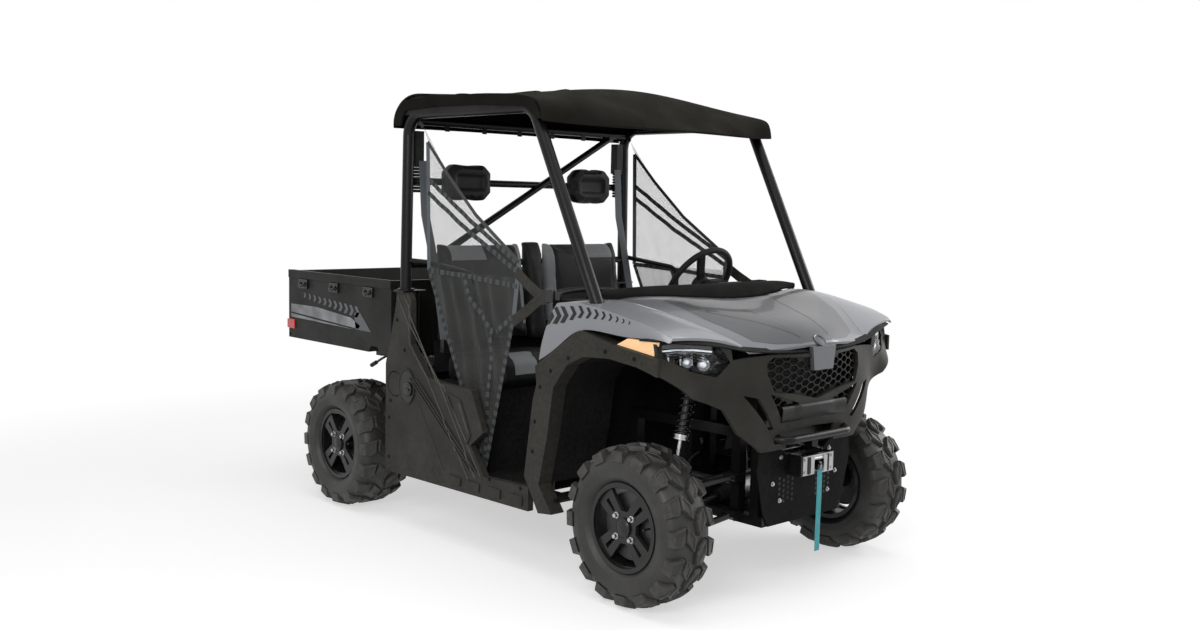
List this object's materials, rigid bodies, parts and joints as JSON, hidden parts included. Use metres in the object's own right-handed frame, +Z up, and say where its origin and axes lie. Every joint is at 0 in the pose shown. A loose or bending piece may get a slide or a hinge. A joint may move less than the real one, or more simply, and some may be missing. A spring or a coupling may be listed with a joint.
{
  "type": "side by side utility vehicle",
  "caption": "Side-by-side utility vehicle with open cab, roof, side nets, bench seat, honeycomb grille, winch and tilting cargo bed.",
  "frame": {"origin": "on the ground under the middle of the vehicle's length and width", "axes": "+X forward, +Y to the driver's left, +Z up"},
  "size_m": [2.91, 1.488, 1.9609],
  "materials": {
    "frame_black": "satin black powder coat",
    "skid_black": "matt black",
    "engine_metal": "cast",
    "drive_metal": "cast silver",
    "shaft_steel": "dull",
    "muffler_steel": "dull heat-stained",
    "arm_black": "satin black",
    "shock_black": "gloss black springs",
    "knuckle_iron": "cast",
    "column_black": "satin black",
    "wheel_grip": "soft black",
    "tyre_black": "matt black",
    "rim_black": "satin black",
    "roof_black": "grained",
    "bed_black": "ribbed matt",
    "lamp_red": "clear red",
    "floor_black": "grained",
    "panel_olive": "fine grain",
    "seat_vinyl": "black grained vinyl",
    "dash_black": "grained",
    "body_silver": "silver-grey metallic",
    "amber_lens": "clear amber",
    "grille_black": "black",
    "lamp_clear": "clear",
    "winch_steel": "black",
    "strap_cyan": "woven webbing",
    "net_black": "open mesh"
  },
  "bodies": {
    "chassis": {"chassis_frame": "frame_black", "skid_plates": "skid_black", "engine_block": "engine_metal", "drive_units": "drive_metal", "half_shafts": "shaft_steel", "muffler": "muffler_steel", "front_arms": "arm_black", "rear_arms": "arm_black", "shock_absorbers": "shock_black", "rear_hub_carriers": "knuckle_iron", "steering_column": "column_black", "rops_sides": "frame_black", "rops_crossbars": "frame_black", "roof_panel": "roof_black", "floor_pan": "floor_black", "side_panels": "panel_olive", "seat_base": "floor_black", "seat_cushions": "seat_vinyl", "seat_backs": "seat_vinyl", "headrests": "seat_vinyl", "dashboard": "dash_black", "hood": "body_silver", "fender_panels": "body_silver", "fender_flares": "panel_olive", "turn_lamps": "amber_lens", "front_fascia": "panel_olive", "grille": "grille_black", "headlamps": "lamp_clear", "arch_liners": "floor_black", "cowl": "floor_black", "bull_bar": "frame_black", "winch": "winch_steel", "winch_strap": "strap_cyan", "net_right": "net_black", "net_left": "net_black", "belt_retractors": "dash_black", "hip_bars": "frame_black"},
    "cargo_bed": {"cargo_bed": "bed_black", "tail_lamps": "lamp_red"},
    "tailgate": {"tailgate": "bed_black"},
    "knuckle_right": {"knuckle_right": "knuckle_iron"},
    "knuckle_left": {"knuckle_left": "knuckle_iron"},
    "steering_rack": {"steering_rack": "shaft_steel"},
    "steering_wheel": {"steering_wheel": "wheel_grip"},
    "wheel_front_right": {"tyre_front_right": "tyre_black", "rim_front_right": "rim_black"},
    "wheel_front_left": {"tyre_front_left": "tyre_black", "rim_front_left": "rim_black"},
    "wheel_rear_right": {"tyre_rear_right": "tyre_black", "rim_rear_right": "rim_black"},
    "wheel_rear_left": {"tyre_rear_left": "tyre_black", "rim_rear_left": "rim_black"}
  },
  "joints": [
    {"name": "steer_left", "type": "hinge", "parent": "chassis", "child": "knuckle_left", "pos_m": [1.095, 0.56, 0.299], "axis": [0, 0, 1], "range_deg": [-30, 30]},
    {"name": "steer_right", "type": "hinge", "parent": "chassis", "child": "knuckle_right", "pos_m": [1.095, -0.56, 0.299], "axis": [0, 0, 1], "range_deg": [-30, 30]},
    {"name": "rack_slide", "type": "slide", "parent": "chassis", "child": "steering_rack", "axis": [0, 1, 0], "range_m": [-0.031, 0.031]},
    {"name": "steering_wheel_turn", "type": "hinge", "parent": "chassis", "child": "steering_wheel", "pos_m": [0.47, 0.37, 1.12], "axis": [-0.848, 0, 0.5299], "range_deg": [-270, 270]},
    {"name": "bed_tilt", "type": "hinge", "parent": "chassis", "child": "cargo_bed", "pos_m": [-1.2, 0, 0.705], "axis": [0, -1, 0], "range_deg": [0, 45]},
    {"name": "tailgate_drop", "type": "hinge", "parent": "cargo_bed", "child": "tailgate", "pos_m": [-1.412, 0, 0.769], "axis": [0, -1, 0], "range_deg": [0, 90]},
    {"name": "spin_front_right", "type": "hinge", "parent": "knuckle_right", "child": "wheel_front_right", "pos_m": [1.095, -0.62, 0.299], "axis": [0, 1, 0], "continuous": true},
    {"name": "spin_front_left", "type": "hinge", "parent": "knuckle_left", "child": "wheel_front_left", "pos_m": [1.095, 0.62, 0.299], "axis": [0, 1, 0], "continuous": true},
    {"name": "spin_rear_right", "type": "hinge", "parent": "chassis", "child": "wheel_rear_right", "pos_m": [-0.835, -0.61, 0.299], "axis": [0, 1, 0], "continuous": true},
    {"name": "spin_rear_left", "type": "hinge", "parent": "chassis", "child": "wheel_rear_left", "pos_m": [-0.835, 0.61, 0.299], "axis": [0, 1, 0], "continuous": true}
  ],
  "couplings": [
    {"joint": "steer_right", "follows": "steer_left", "ratio": 1},
    {"joint": "rack_slide", "follows": "steer_left", "m_per_rad": -0.0573},
    {"joint": "steering_wheel_turn", "follows": "steer_left", "ratio": 9}
  ]
}
